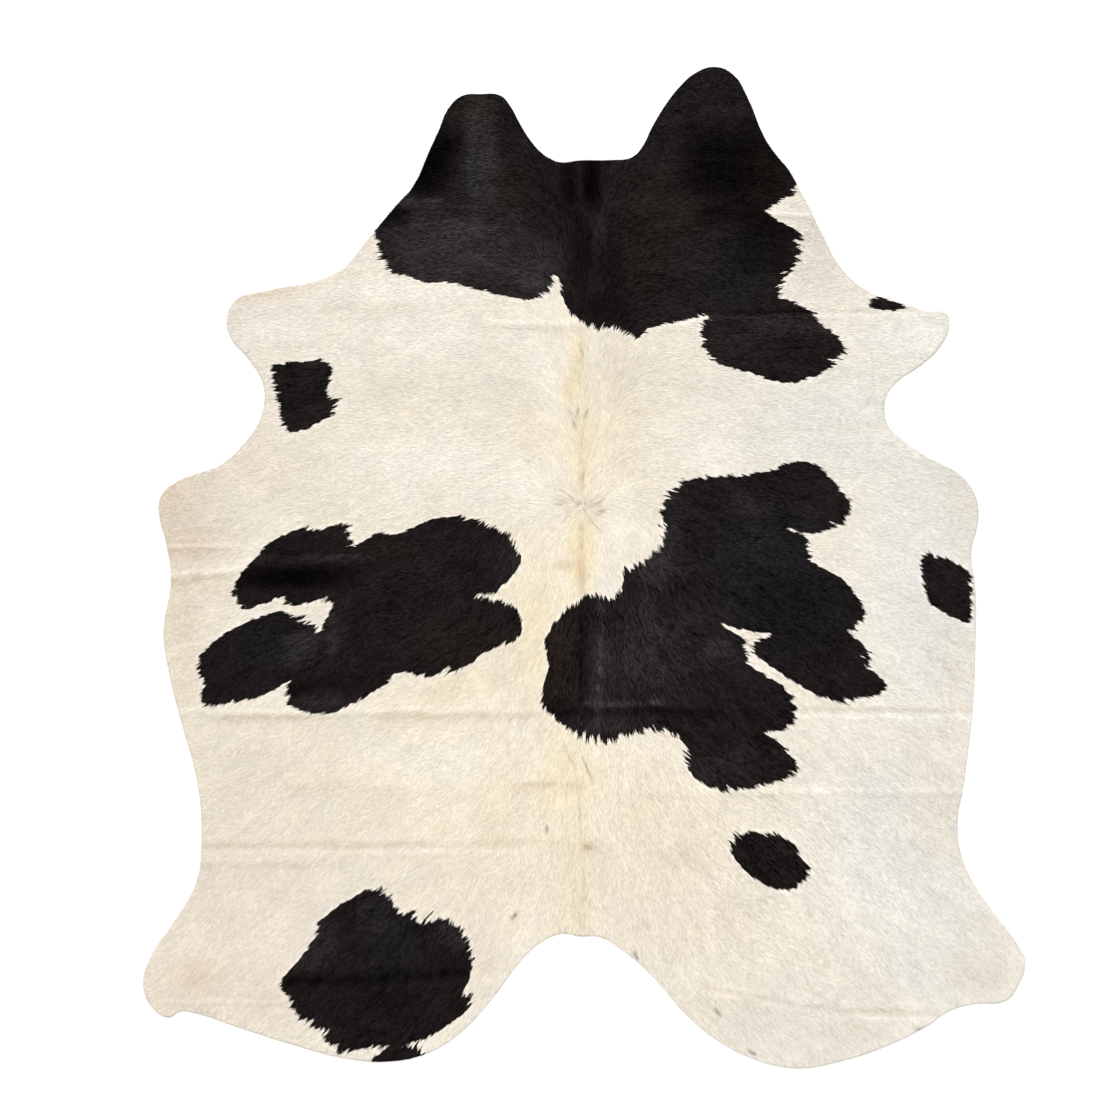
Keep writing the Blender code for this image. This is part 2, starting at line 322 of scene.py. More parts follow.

# The coat's colour changes along lines too. Along the fold lines some of them are painted light: shade on
# the side of a fold turned from the key light, highlights on the side turned to it.
LINES = {
    # Along the spine a tan stripe; along the fold lines at the elbows, waist, loin, rump and hocks, painted
    # shade on the side of each fold turned from the key light
    "tan": (
        ("shoulders",
         (-4, 545, -7, 430, 11, 0.5), (-10, 450, -36, 390, 20, 0.55), (-8, 440, -16, 370, 12, 0.5)),
        ("elbows",
         (-940, 56, -790, 58, 9, 0.3), (-940, 29, -830, 30, 16, 0.55), (-940, -38, -830, -28, 20, 0.8)),
        ("withers", (-30, 400, -52, 350, 9, 0.34), (-20, 320, -8, 240, 12, 0.4), (4, 320, 2, 190, 7, 0.15)),
        ("whorl", (-8, 250, -10, 165, 14, 0.75), (-4, 105, -6, 20, 13, 0.8)),
        ("back", (-6, 40, 2, -66, 18, 1.0), (-62, 3, -10, -2, 18, 0.75)),
        ("waist",
         (-800, -331, -560, -332, 18, 0.5), (-450, -330, -270, -330, 20, 0.55),
         (-290, -328, -84, -324, 18, 0.45)),
        ("loin",
         (-660, -484, -440, -485, 12, 0.34), (-340, -483, -190, -484, 12, 0.22),
         (-160, -484, 10, -478, 24, 0.7)),
        ("rump",
         (-880, -611, -340, -608, 22, 0.45), (-260, -602, -60, -602, 20, 0.36),
         (-870, -657, -620, -654, 18, 0.22)),
        ("hocks",
         (-820, -948, -640, -945, 10, 0.5), (260, -924, 540, -972, 12, 0.35),
         (500, -972, 790, -980, 18, 0.7)),
    ),
    # Painted shade on the side of the fold lines, and of the spine, turned from the key light
    "dull_and_fold_shade": (
        ("shoulders",
         (500, 562, 760, 564, 9, 0.7), (-230, 525, -6, 525, 11, 0.8), (50, 500, 70, 370, 14, 0.4)),
        ("waist", (470, -312, 940, -314, 13, 0.85)),
    ),
    # Painted highlights on the side of each fold line turned to the key light
    "white": (
        ("neck", (385, 780, 520, 776, 10, 0.6)),
        ("shoulders", (-240, 542, 10, 541, 9, 0.45)),
        ("elbows", (-960, 47, -750, 51, 8, 0.25), (-960, -16, -750, 0, 10, 0.4)),
        ("waist", (-950, -313, -60, -311, 12, 0.22), (440, -329, 960, -332, 22, 0.35)),
        ("loin", (250, -489, 880, -489, 10, 0.35)),
        ("rump", (-870, -628, -300, -624, 12, 0.16)),
        ("hocks", (-930, -954, -640, -952, 8, 0.2), (500, -992, 800, -1000, 18, 0.25)),
    ),
    # Dark lines where the coat parts, along the spine and about the whorl: the darker hair bases, with the
    # shade in the parting painted; and a few small dark specks
    "parted": (
        ("shoulders", (-8, 492, -2, 460, 5, 0.5)),
        ("withers",
         (-35, 348, -25, 333, 6, 0.6), (-13, 350, -17, 330, 6, 0.75), (9, 350, -1, 324, 6, 0.75),
         (-22, 324, -20, 306, 6, 0.6), (-2, 322, -5, 258, 5, 0.35)),
        ("whorl",
         (1, 224, -4, 188, 5, 0.7), (-2, 186, -6, 160, 5, 0.5), (-15, 144, -8, 130, 7, 1.0),
         (1, 127, 4, 114, 6, 0.9), (-56, 173, -20, 150, 4, 0.8), (-66, 151, -30, 141, 5, 0.55),
         (10, 139, 32, 161, 4, 0.8), (16, 132, 44, 150, 4, 0.8), (20, 113, 48, 131, 5, 0.95),
         (6, 104, 20, 96, 6, 0.6), (18, 99, 44, 74, 4, 0.7)),
        ("back", (-2, 60, 0, -50, 4, 0.2)),
        ("loin", (-50, -378, -12, -452, 5, 0.4), (-6, -412, 22, -476, 5, 0.7)),
        ("croup",
         (-12, -495, -6, -600, 4, 0.35), (2, -614, 18, -616, 9, 0.4), (-2, -650, 0, -750, 5, 0.35)),
        ("specks",
         (11, -746, 13, -732, 6, 0.4), (684, 520, 688, 528, 6, 0.4), (800, 556, 802, 548, 5, 0.4),
         (-138, 235, -118, 235, 6, 0.5), (52, -412, 60, -420, 6, 0.4)),
    ),
    "speck": (
        ("croup", (-84, -568, -80, -582, 7, 1.0), (-162, -776, -148, -761, 8, 1.0)),
        ("rump", (108, -844, 119, -864, 8, 1.0)),
        ("thighs", (287, -968, 300, -986, 8, 1.0), (360, -1063, 378, -1072, 7, 0.8)),
        ("hocks", (728, -1018, 742, -1014, 8, 0.8), (-852, -975, -806, -983, 6, 0.4)),
    ),
    # Painted highlights on the black coat: bands where the hair catches the light, and the lit side of fold
    # lines
    "painted_sheen": (
        ("neck", (-430, 804, -290, 804, 20, 0.8)),
        ("shoulders", (330, 546, 560, 540, 14, 0.3)),
        ("ribs",
         (36, -46, 30, -370, 26, 0.8), (140, -20, 148, -270, 30, 0.5), (-720, 22, -460, 26, 12, 0.3),
         (-556, -90, -556, -190, 34, 0.5)),
        ("waist", (-4, -300, 200, -296, 11, 1.0)),
    ),
    # Painted shade on the black coat: dark bands where the hair loses the light, and the shaded side of
    # fold lines
    "painted_shade": (
        ("neck", (-450, 838, -290, 838, 24, 0.85)),
        ("shoulders", (330, 566, 560, 560, 22, 0.3)),
        ("ribs",
         (-494, -60, -498, -200, 34, 0.4), (76, -90, 76, -290, 28, 0.6), (196, -80, 190, -280, 34, 0.3),
         (-8, -80, -6, -320, 13, 0.9)),
        ("waist", (-84, -316, 300, -319, 26, 0.7), (0, -320, 130, -318, 26, 1.0)),
        ("thighs", (-665, -914, -250, -890, 30, 0.9)),
    ),
}

# Short dark strokes fan out from the whorl, unevenly: partings, with the shade in them painted
WHORL_STROKES = 14
WHORL_REACH = 60

# How far out a tint is worked out, in radii or half widths, and how fast it fades. A line fades over so
# many millimetres at most at its ends, and wanders by that many half widths.
TINT_REACH, TINT_FALL = 2.2, 1.2
LINE_FADE, LINE_WANDER = 20, 0.25

# How strong the cream coat's yellow mottling is, and how wide and strong the white is beside black
MOTTLE, HALO_WIDTH, HALO_WHITE = 0.07, 10, 0.3

# The families of tints that each colour of hair shows
# Of the pale coat's families, the tan, dull and white ones also paint shade and highlights along the fold
# lines
CREAM_FAMILIES = ("yellow", "tan", "neutral", "dull_and_fold_shade", "rosy", "white", "parted", "speck")
# Of the black coat's families, the first two are painted sheen and painted shade
BLACK_FAMILIES = ("painted_sheen", "painted_shade", "brown", "cold")

# Which way the hair lies, in degrees below straight outwards: on the sides, at places from tail to head,
# and beside the spine before the whorl and behind it
SIDE_PLACES = (-1000, -600, -200, 150, 500, 900)
SIDE_ANGLES = (46, 42, 30, 20, 8, 2)
SPINE_ANGLES = (-72, 82)
SPINE_REACH = (110, 200)
PARTING = 14
WHORL_CHANGE = 60
WHORL_RADIUS = 55

# How many radians hairs stray: in wide and in fine waves, where a lock's tips meet, with the tuft's lock,
# from tuft to tuft, and more than that in the whorl's own middle, so many millimetres wide
WIDE_STRAY, FINE_STRAY, TIPS_STRAY, LOCK_STRAY, TUFT_STRAY, WHORL_STRAY = 0.22, 0.16, 0.16, 0.1, 0.1, 1.4
WHORL_MIDDLE = 10

# Where the hair is shorter: up on the cheeks and out on the legs, from the first place to the second
CHEEKS, CHEEKS_SHORTER = (780, 1000), 0.25
LEGS, LEGS_SHORTER = (700, 900), 0.15

# A tuft: how much its length and its stand differ from its neighbours', how short the cut edge trims it
# at most, how far inside that edge it roots and how deep, where between root and tip its middle is, and
# how high and how near to the tip's colour that is
LENGTH_SPREAD, STAND_SPREAD, SHORTEST = 0.12, 0.2, 0.25
ROOT_INSET, ROOT_DEPTH = 0.6 * MM, 0.2 * MM
TUFT_MIDDLE, MIDDLE_STAND, MIDDLE_COLOUR = 0.4, 0.62, 0.55

# At a marking's edge: between how many edge locks from it small locks give way, how much longer the edge
# locks are, how much both kinds differ in length, how sharply spikes of colour stand apart, how far a tuft
# takes its lock's colour, and how far the edge wavers
EDGE_BAND, EDGE_LONGER, EDGE_SPREAD, SMALL_SPREAD = (0.5, 1.6), 1.2, 0.4, 0.15
SPIKE_CUT, LOCK_COLOUR, EDGE_WAVER = 2.2, 0.3, 1.2 * MM

# How much lighter or darker the coat is from tuft to tuft, lock to lock, and streak to streak, and in
# small and big clouds
TUFT_TONE, LOCK_TONE, STREAK_TONE, SMALL_CLOUD, BIG_CLOUD = 2.7, 0.35, 0.6, 0.6, 0.4

# How that tone, the painted sheen and the painted shade change the hair's lightness
CREAM_TONE, CREAM_LIGHT = 0.05, 0.935
BLACK_TONE, PAINTED_SHEEN_LIGHT, PAINTED_SHADE_LIGHT, LEAST_LIGHT, SATIN = 0.26, 1.3, -0.85, 0.12, 0.06

# How far the random fields reach from the middle, in metres: past the hide on every side
FIELD_REACH = 1.4
LOCK_REACH = 1.3

# The Mix node's sockets that take colours
MIX_SHARE, MIX_FROM, MIX_TO, MIX_RESULT = 0, 6, 7, 2

# --- settings -------------------------------------------------------------------------------------


def linear(code):
    """A colour written as sRGB hex, as the linear numbers that a shader takes."""
    channels = [int(code[i : i + 2], 16) / 255 for i in (1, 3, 5)]
    return [c / 12.92 if c <= 0.04045 else ((c + 0.055) / 1.055) ** 2.4 for c in channels]


def colour(name, description, default):
    """A colour that a user can change."""
    return bpy.props.FloatVectorProperty(
        name=name, description=description, default=linear(default), subtype="COLOR", size=3, min=0, max=1
    )


def metres(name, description, default, low):
    """A length in metres that a user can change."""
    return bpy.props.FloatProperty(
        name=name, description=description, default=default, min=low, unit="LENGTH", subtype="DISTANCE"
    )


def share(name, description, default):
    """A share from 0 to 1 that a user can change."""
    return bpy.props.FloatProperty(
        name=name, description=description, default=default, min=0, max=1, subtype="FACTOR"
    )


def strength(name, description, default):
    """How strong a light is, which a user can change."""
    return bpy.props.FloatProperty(name=name, description=description, default=default, min=0)


class CowhideSkinSettings(bpy.types.PropertyGroup):
    """The tanned skin."""

    thickness: metres("Thickness", "How thick the skin is without its hair", 1.8 * MM, 0.5 * MM)
    step: metres("Step", "How far apart the skin's rows are", 24 * MM, 5 * MM)
    suede: colour("Suede", "The flesh side, chrome tanned and buffed", "#C9BBA6")
    cut: colour("Cut edge", "The skin where it was trimmed", "#B9A78C")


class CowhideCoatSettings(bpy.types.PropertyGroup):
    """The hair. One hair is about 0.06 mm thick, too fine to show, so tufts of them are drawn, as coarse
    as the streaks that the eye sees in the coat."""

    spacing: metres("Spacing", "How far apart the tufts' roots are", 2.62 * MM, 1.0 * MM)
    length: metres("Hair length", "How long a tuft is on the ribs", 15.5 * MM, 3 * MM)
    width: metres("Tuft width", "How wide a tuft is at its middle", 1.95 * MM, 0.2 * MM)
    lock: metres("Lock", "How far apart the locks of tufts are", 6 * MM, 2 * MM)
    edge_lock: metres("Edge lock", "How far apart locks are at a marking's edge", 10.5 * MM, 2 * MM)
    overhang: metres("Overhang", "How far tips reach past the cut edge", 2.0 * MM, 0.0)
    spike: metres("Spike", "How far a marking's edge runs out along the hair", 10 * MM, 0.0)
    rise: metres("Rise", "How far a tuft's tip stands up", 0.8 * MM, 0.2 * MM)
    gather: share("Gather", "How far a lock's tips draw together", 0.45)
    edge_gather: share("Edge gather", "How far they do at a marking's edge", 0.5)
    roll: bpy.props.FloatProperty(
        name="Roll", description="How far tufts roll to one side", default=math.radians(4), unit="ROTATION"
    )
    cream: colour("Cream", "The pale hair at its tips", "#EEE7DB")
    cream_root: colour("Cream roots", "The pale hair at its roots", "#DDD3C2")
    yellow: colour("Yellow", "The pale hair along the spine", "#E8D6A4")
    # Also the painted shade on the shaded side of the fold lines
    tan: colour("Tan", "The pale hair at elbows and hocks", "#CDB490")
    neutral: colour("Neutral", "The pale hair on the right side", "#E1E0DA")
    # Duller, darker patches, and the painted shade along the fold lines
    dull_and_fold_shade: colour("Dull", "The pale hair where it is thin", "#D8CCBC")
    rosy: colour("Rosy", "The pale hair where pink skin shows through", "#E4D5C9")
    # Also the painted highlights on the lit side of the fold lines
    white: colour("White", "The pale hair beside black", "#FCF8F0")
    # Dark where the coat parts: the darker hair bases, with the shade in the gap painted
    parted: colour("Parted", "The pale coat where it parts along a fold line", "#8F7A58")
    speck: colour("Speck", "The few dark hairs in the pale coat", "#3A322A")
    black: colour("Black", "The dark hair at its tips", "#191211")
    black_root: colour("Black roots", "The dark hair at its roots", "#0C0908")
    # A painted sheen: the colour the black hair is painted where it catches the light
    painted_sheen: colour("Gloss", "The dark hair where it shines", "#211E20")
    brown: colour("Brown", "The dark hair where it is sun-bleached", "#20160F")
    cold: colour("Cold", "The dark hair with a bluish cast", "#141418")


class CowhideStageSettings(bpy.types.PropertyGroup):
    """The floor, the lights and the camera."""

    frame_width: metres("Frame width", "How much of the floor the picture shows", 2.431, 0.1)
    lens: bpy.props.FloatProperty(name="Lens", description="Focal length in mm", default=85, min=10)
    key: strength("Key", "The light at the head end", 2.5)
    sky: strength("Sky", "The light all round", 0.62)
    floor: colour("Floor", "The plain pale floor", "#F6F6F5")


# --- outlines and fields --------------------------------------------------------------------------


def turn(directions, angles):
    """Directions turned anticlockwise by angles."""
    c, s = np.cos(angles), np.sin(angles)
    x, y = directions[:, 0], directions[:, 1]
    return np.stack((x * c - y * s, x * s + y * c), axis=1)


def soft(t):
    """A share that starts and ends gently."""
    return t * t * (3.0 - 2.0 * t)


def ease(values, low, high):
    """0 below low, 1 above high, and a soft step between them."""
    return soft(np.clip((values - low) / (high - low), 0.0, 1.0))


def between(grid, cell, t):
    """A grid's value at a share t of the way from one of its cells to the next, both ways."""
    i, j = cell.T
    low = grid[i, j] * (1 - t[:, 0]) + grid[i + 1, j] * t[:, 0]
    high = grid[i, j + 1] * (1 - t[:, 0]) + grid[i + 1, j + 1] * t[:, 0]
    return low * (1 - t[:, 1]) + high * t[:, 1]


def ripple(places, size, seed):
    """An even random field from -1 to 1 whose waves are about size across, for places in metres."""
    cells = int(2 * FIELD_REACH / size) + 3
    lattice = np.random.default_rng(seed).uniform(-1.0, 1.0, (cells, cells))
    position = (places + FIELD_REACH) / size
    cell = np.clip(np.floor(position).astype(int), 0, cells - 2)
    return between(lattice, cell, soft(position - cell))


def streaks(places, lie, width, length, seed):
    """A field like ripple's, drawn out along the hair."""
    steps = np.linspace(-0.5, 0.5, 7) * length
    return sum(ripple(places + lie * step, width, seed) for step in steps) / math.sqrt(len(steps))


def smooth_loop(landmarks):
    """A closed curve through landmarks, as points in metres."""
    knots = np.array(landmarks) * MM
    before, after, beyond = (np.roll(knots, shift, axis=0) for shift in (1, -1, -2))
    pieces = []
    for t in np.arange(MARKING_STEPS) / MARKING_STEPS:
        bend = (2 * before - 5 * knots + 4 * after - beyond) * t * t
        twist = (3 * knots - before - 3 * after + beyond) * t**3
        pieces.append(0.5 * (2 * knots + (after - before) * t + bend + twist))
    return np.stack(pieces, axis=1).reshape(-1, 2)


def signed_distance(places, loop):
    """How far places are from a closed line, below zero inside it."""
    x, y = places[:, 0], places[:, 1]
    nearest = np.full(len(places), np.inf)
    inside = np.zeros(len(places), bool)
    for (ax, ay), (bx, by) in zip(loop, np.roll(loop, -1, axis=0)):
        ux, uy = bx - ax, by - ay
        along = np.clip(((x - ax) * ux + (y - ay) * uy) / (ux * ux + uy * uy + 1e-18), 0.0, 1.0)
        nearest = np.minimum(nearest, (x - ax - along * ux) ** 2 + (y - ay - along * uy) ** 2)
        if ay != by:
            inside ^= ((ay > y) != (by > y)) & (x < ax + (y - ay) * ux / uy)
    return np.sqrt(nearest) * np.where(inside, -1.0, 1.0)


class DistanceMap:
    """How far any place is from the nearest of several closed lines, below zero inside one."""

    REACH = 50 * MM

    def __init__(self, loops, step):
        points = np.concatenate(loops)
        self.step = step
        self.low = points.min(0) - self.REACH
        counts = np.ceil((points.max(0) + self.REACH - self.low) / step).astype(int) + 1
        self.values = np.full(counts, self.REACH)
        for loop in loops:
            first = np.floor((loop.min(0) - self.REACH - self.low) / step).astype(int)
            last = np.ceil((loop.max(0) + self.REACH - self.low) / step).astype(int) + 1
            first, last = np.maximum(first, 0), np.minimum(last, counts)
            rows, columns = np.arange(first[0], last[0]), np.arange(first[1], last[1])
            cells = np.stack(np.meshgrid(rows, columns, indexing="ij"), axis=2).reshape(-1, 2)
            distance = signed_distance(cells * step + self.low, loop)
            block = self.values[first[0] : last[0], first[1] : last[1]]
            np.minimum(block, distance.reshape(block.shape), out=block)

    def at(self, places):
        """The distance at each place."""
        position = (places - self.low) / self.step
        cell = np.clip(np.floor(position).astype(int), 0, np.array(self.values.shape) - 2)
        return between(self.values, cell, np.clip(position - cell, 0.0, 1.0))


def flat_cut():
    """The hide's cut as one flat face that looks up, from the rim of the CAD node's underside."""
    cut = bmesh.new()
    cut.from_mesh(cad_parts[HIDE_NODE].data)
    bmesh.ops.remove_doubles(cut, verts=cut.verts, dist=SAME_POINT)
    above = [face for face in cut.faces if face.normal.z > UNDERSIDE]
    bmesh.ops.delete(cut, geom=above, context="FACES")
    inner = [edge for edge in cut.edges if not edge.is_boundary]
    bmesh.ops.delete(cut, geom=inner, context="EDGES")
    for corner in cut.verts:
        corner.co.z = 0.0
    bmesh.ops.contextual_create(cut, geom=cut.edges[:])
    sheet = max(cut.faces, key=bmesh.types.BMFace.calc_area)
    bmesh.ops.delete(cut, geom=[face for face in cut.faces if face != sheet], context="FACES")
    cut.normal_update()
    bmesh.ops.reverse_faces(cut, faces=[face for face in cut.faces if face.normal.z < 0.0])
    return cut


@functools.cache
def cut_edge():
    """How far places are from the cut edge, below zero on the hide."""
    cut = flat_cut()
    (face,) = cut.faces
    loop = np.array([corner.co[:2] for corner in face.verts])
    cut.free()
    return DistanceMap([loop], step=5 * MM)


@functools.cache
def markings():
    """How far places are from the black markings' edges, below zero on black."""
    return DistanceMap([smooth_loop(landmarks) for landmarks in MARKINGS.values()], step=3 * MM)


def listed(table):
    """A table's rows, whatever place on the hide they are listed under."""
    return [row for _, *rows in table for row in rows]


def lines(table):
    """The lines in a table."""
    return [Line(row[:2], row[2:4], *row[4:]) for row in listed(table)]


def beside_line(places, line, reach):
    """The numbers of the places that are within so many half widths of a line, how far each is from the
    line's start and from its end, and how many half widths it is to one side."""
    start, end = np.array(line.start) * MM, np.array(line.end) * MM
    half = line.width * MM / 2
    low, high = np.minimum(start, end) - reach * half, np.maximum(start, end) + reach * half
    near = np.flatnonzero(((places > low) & (places < high)).all(axis=1))
    length = math.dist(start, end)
    run = (end - start) / length
    offset = places[near] - start
    ahead = offset @ run
    wander = LINE_WANDER * ripple(places[near], 34 * MM, seed=42)
    beside = offset @ np.array((-run[1], run[0])) / half + wander
    return near, ahead, length - ahead, beside


def fold_rise(fold, places, fade):
    """The numbers of the places on one fold line or crease, and how far it lifts the skin at each."""
    near, ahead, left, beside = beside_line(places, fold, 1.0)
    profile = 0.5 + 0.5 * np.cos(math.pi * np.clip(beside, -1.0, 1.0))
    ends = np.clip(np.minimum(ahead, left) / (fade * MM), 0.0, 1.0)
    wave = 1.0 - FOLD_UNEVENNESS * (0.5 + 0.5 * np.sin(math.tau * ahead / (FOLD_WAVE * MM)))
    wave *= 0.8 + 0.3 * ripple(places[near], 120 * MM, seed=5)
    return near, fold.strength * profile * ends * wave * MM


def tip_rise(tip, places):
    """How far one tip's curl lifts the skin, in metres."""
    outwards = np.array(tip.direction) / math.hypot(*tip.direction)
    offset = (places - np.array(tip.hinge) * MM) / MM
    ahead = np.maximum(offset @ outwards / tip.reach, 0.0)
    beside = np.abs(offset @ np.array((-outwards[1], outwards[0])))
    return tip.height * ahead**2 * (1.0 - ease(beside, TIP_SPREAD - TIP_SIDE_FADE, TIP_SPREAD)) * MM


def rise(places):
    """How far the flesh side is off the floor."""
    folds = np.zeros(len(places))
    for fold in lines(FOLDS):
        near, lift = fold_rise(fold, places, FOLD_FADE)
        folds[near] = np.maximum(folds[near], lift)
    for crease in lines(CREASES):
        near, lift = fold_rise(crease, places, CREASE_FADE)
        folds[near] += lift
    tips = np.max([tip_rise(tip, places) for tip in TIPS], axis=0)
    swell = 0.5 + 0.5 * ripple(places, SWELL_SIZE * MM, seed=3)
    return np.maximum(folds + tips + swell * SWELL_HEIGHT * MM, 0.0)


@functools.cache
def colour_lines():
    """Each family's lines along which the coat changes colour, with the strokes around the whorl."""
    found = {family: lines(table) for family, table in LINES.items()}
    draw = np.random.default_rng(43)
    for _ in range(WHORL_STROKES):
        bearing = draw.uniform(0, math.tau)
        outwards = np.array((math.cos(bearing), math.sin(bearing)))
        near = WHORL_REACH * draw.uniform(0.2, 0.7)
        far = near + WHORL_REACH * draw.uniform(0.15, 0.4)
        start, end = np.array(WHORL) + outwards * near, np.array(WHORL) + outwards * far
        found["parted"].append(Line(start, end, draw.uniform(3, 5), draw.uniform(0.25, 0.65)))
    return found


def tinted(family, places):
    """How strongly a family of tints shows, from 0 to 1. The black coat's painted sheen and painted shade
    change from panel to panel between the fold lines, so its tints have flatter middles and firmer edges."""
    power = 4 if family in BLACK_FAMILIES else 2
    total = np.zeros(len(places))
    for spot in (Tint(*row) for row in listed(TINTS.get(family, ()))):
        middle = np.array((spot.across, spot.along)) * MM
        radii = np.array((spot.wide, spot.long))
        near = np.flatnonzero((np.abs(places - middle) < TINT_REACH * radii.max() * MM).all(axis=1))
        offset = turn((places[near] - middle) / MM, -math.radians(spot.turn))
        spread = (np.abs(offset / radii) ** power).sum(axis=1)
        total[near] = np.maximum(total[near], spot.strength * np.exp(-TINT_FALL * spread))
    for line in colour_lines().get(family, ()):
        near, ahead, left, beside = beside_line(places, line, TINT_REACH)
        fade = min(LINE_FADE, 0.2 * math.dist(line.start, line.end)) * MM
        ends = ease(np.minimum(ahead, left), -line.width * MM / 2, fade)
        uneven = 0.72 + 0.4 * ripple(places[near], 16 * MM, seed=41)
        total[near] = np.maximum(total[near], line.strength * ends * uneven * np.exp(-(beside**2)))
    return total


def cream_shares(places):
    """How strongly each family of cream tints shows. The coat is mottled, and beside a black marking it
    is nearly white."""
    shares = {family: tinted(family, places) for family in CREAM_FAMILIES}
    mottle = 1.0 + ripple(places, 26 * MM, seed=51) + 0.6 * ripple(places, 60 * MM, seed=52)
    shares["yellow"] += MOTTLE * mottle * (1.0 - shares["neutral"])
    halo = 1.0 - ease(markings().at(places), 0.0, HALO_WIDTH * MM)
    shares["white"] = np.maximum(shares["white"], HALO_WHITE * halo)
    return shares


def black_shares(places):
    """How strongly each family of black tints shows."""
    return {family: tinted(family, places) for family in BLACK_FAMILIES}


def hair_direction(places):
    """Which way the hair lies: outwards from the spine, tailwards behind the whorl on the withers and
    headwards before it, and straight out of the whorl itself."""
    across, along = places.T / MM
    side = np.clip(across / PARTING, -1.0, 1.0)
    behind = ease(WHORL[1] - along, -WHORL_CHANGE, WHORL_CHANGE)
    beside_spine = np.radians(SPINE_ANGLES[0] + (SPINE_ANGLES[1] - SPINE_ANGLES[0]) * behind)
    on_the_side = np.radians(np.interp(along, SIDE_PLACES, SIDE_ANGLES))
    reach = SPINE_REACH[0] + (SPINE_REACH[1] - SPINE_REACH[0]) * behind
    angle = on_the_side + (beside_spine - on_the_side) * np.exp(-((across / reach) ** 2))
    lie = np.stack((side * np.cos(angle), -np.sin(angle)), axis=1)
    offset = places / MM - np.array(WHORL)
    distance = np.hypot(*offset.T)
    near = np.exp(-((distance / WHORL_RADIUS) ** 2))[:, None]
    lie = lie * (1 - near) + offset / (distance[:, None] + 1.0) * near
    lie /= np.hypot(*lie.T)[:, None] + 1e-9
    stray = WIDE_STRAY * ripple(places, 70 * MM, seed=11)
    stray += FINE_STRAY * ripple(places, 18 * MM, seed=12)
    return turn(lie, stray)


# --- materials ------------------------------------------------------------------------------------


def feed(node, inputs):
    """Gives a node its inputs. Each is a value, or a socket to link from."""
    for socket, value in inputs.items():
        if isinstance(value, bpy.types.NodeSocket):
            node.id_data.links.new(value, node.inputs[socket])
        else:
            node.inputs[socket].default_value = value


def add(tree, kind, output, inputs, **settings):
    """Adds a shader node with its settings and inputs, and returns one of its outputs."""
    node = tree.nodes.new("ShaderNode" + kind)
    for name, value in settings.items():
        setattr(node, name, value)
    feed(node, inputs)
    return node.outputs[output]


def rgba(channels):
    """A colour setting as a shader takes it."""
    return (*channels, 1.0)


def new_material(name):
    """A material, its nodes and its surface shader."""
    material = bpy.data.materials.new(name)
    material.use_nodes = True
    return material, material.node_tree, material.node_tree.nodes["Principled BSDF"]


def hair_colour(tree, coat, base, families):
    """Hair from its roots to its tips, leaning to each family's colour where its tints are."""
    hair = rgba(getattr(coat, base + "_root"))
    for field, towards in (("along", base), *zip(families, families)):
        carried = add(tree, "Attribute", "Fac", {}, attribute_name=field)
        colours = {MIX_SHARE: carried, MIX_FROM: hair, MIX_TO: rgba(getattr(coat, towards))}
        hair = add(tree, "Mix", MIX_RESULT, colours, data_type="RGBA")
    return hair


def cream_hair(coat):
    """White cattle hair: clear hollow shafts that scatter light, bright at the tips, deeper between the
    locks, stained yellow along the spine, tawny on the legs, and duller and darker in patches, with a soft
    sheen and no hard shine. Along the fold lines it is painted darker on the shaded side and lighter on the
    lit side: painted shade and painted highlights."""
    material, tree, shader = new_material("cream cattle hair")
    hair = hair_colour(tree, coat, "cream", CREAM_FAMILIES)
    tone = add(tree, "Attribute", "Fac", {}, attribute_name="tone")
    value = add(tree, "Math", 0, {0: tone, 1: CREAM_TONE, 2: CREAM_LIGHT}, operation="MULTIPLY_ADD")
    hair = add(tree, "HueSaturation", "Color", {"Color": hair, "Value": value})
    feed(shader, {"Base Color": hair, "Roughness": 0.6, "Specular IOR Level": 0.25})
    return material


def black_hair(coat):
    """Black cattle hair: pigmented shafts, almost black between the locks and warm brown-black on top, with
    the satin shine of a combed coat. Its colour is painted lighter in panels that catch the light, a
    painted sheen, and darker in panels and along fold lines that lose it, painted shade."""
    material, tree, shader = new_material("black cattle hair")
    hair = hair_colour(tree, coat, "black", ("painted_sheen", "brown", "cold"))
    painted_sheen, painted_shade, tone = (
        add(tree, "Attribute", "Fac", {}, attribute_name=name) for name in ("painted_sheen", "painted_shade", "tone")
    )
    # Painted sheen lightens the hair and painted shade darkens it, panel by panel
    panel = add(tree, "Math", 0, {0: painted_sheen, 1: PAINTED_SHEEN_LIGHT, 2: 1.0}, operation="MULTIPLY_ADD")
    panel = add(tree, "Math", 0, {0: painted_shade, 1: PAINTED_SHADE_LIGHT, 2: panel}, operation="MULTIPLY_ADD")
    light = add(tree, "Math", 0, {0: tone, 1: BLACK_TONE, 2: 1.0}, operation="MULTIPLY_ADD")
    light = add(tree, "Math", 0, {0: light, 1: LEAST_LIGHT}, operation="MAXIMUM")
    light = add(tree, "Math", 0, {0: light, 1: panel}, operation="MULTIPLY")
    hair = add(tree, "HueSaturation", "Color", {"Color": hair, "Value": light})
    satin = add(tree, "Math", 0, {0: light, 1: SATIN}, operation="MULTIPLY")
    feed(shader, {"Base Color": hair, "Roughness": 0.5, "Specular IOR Level": satin})
    return material


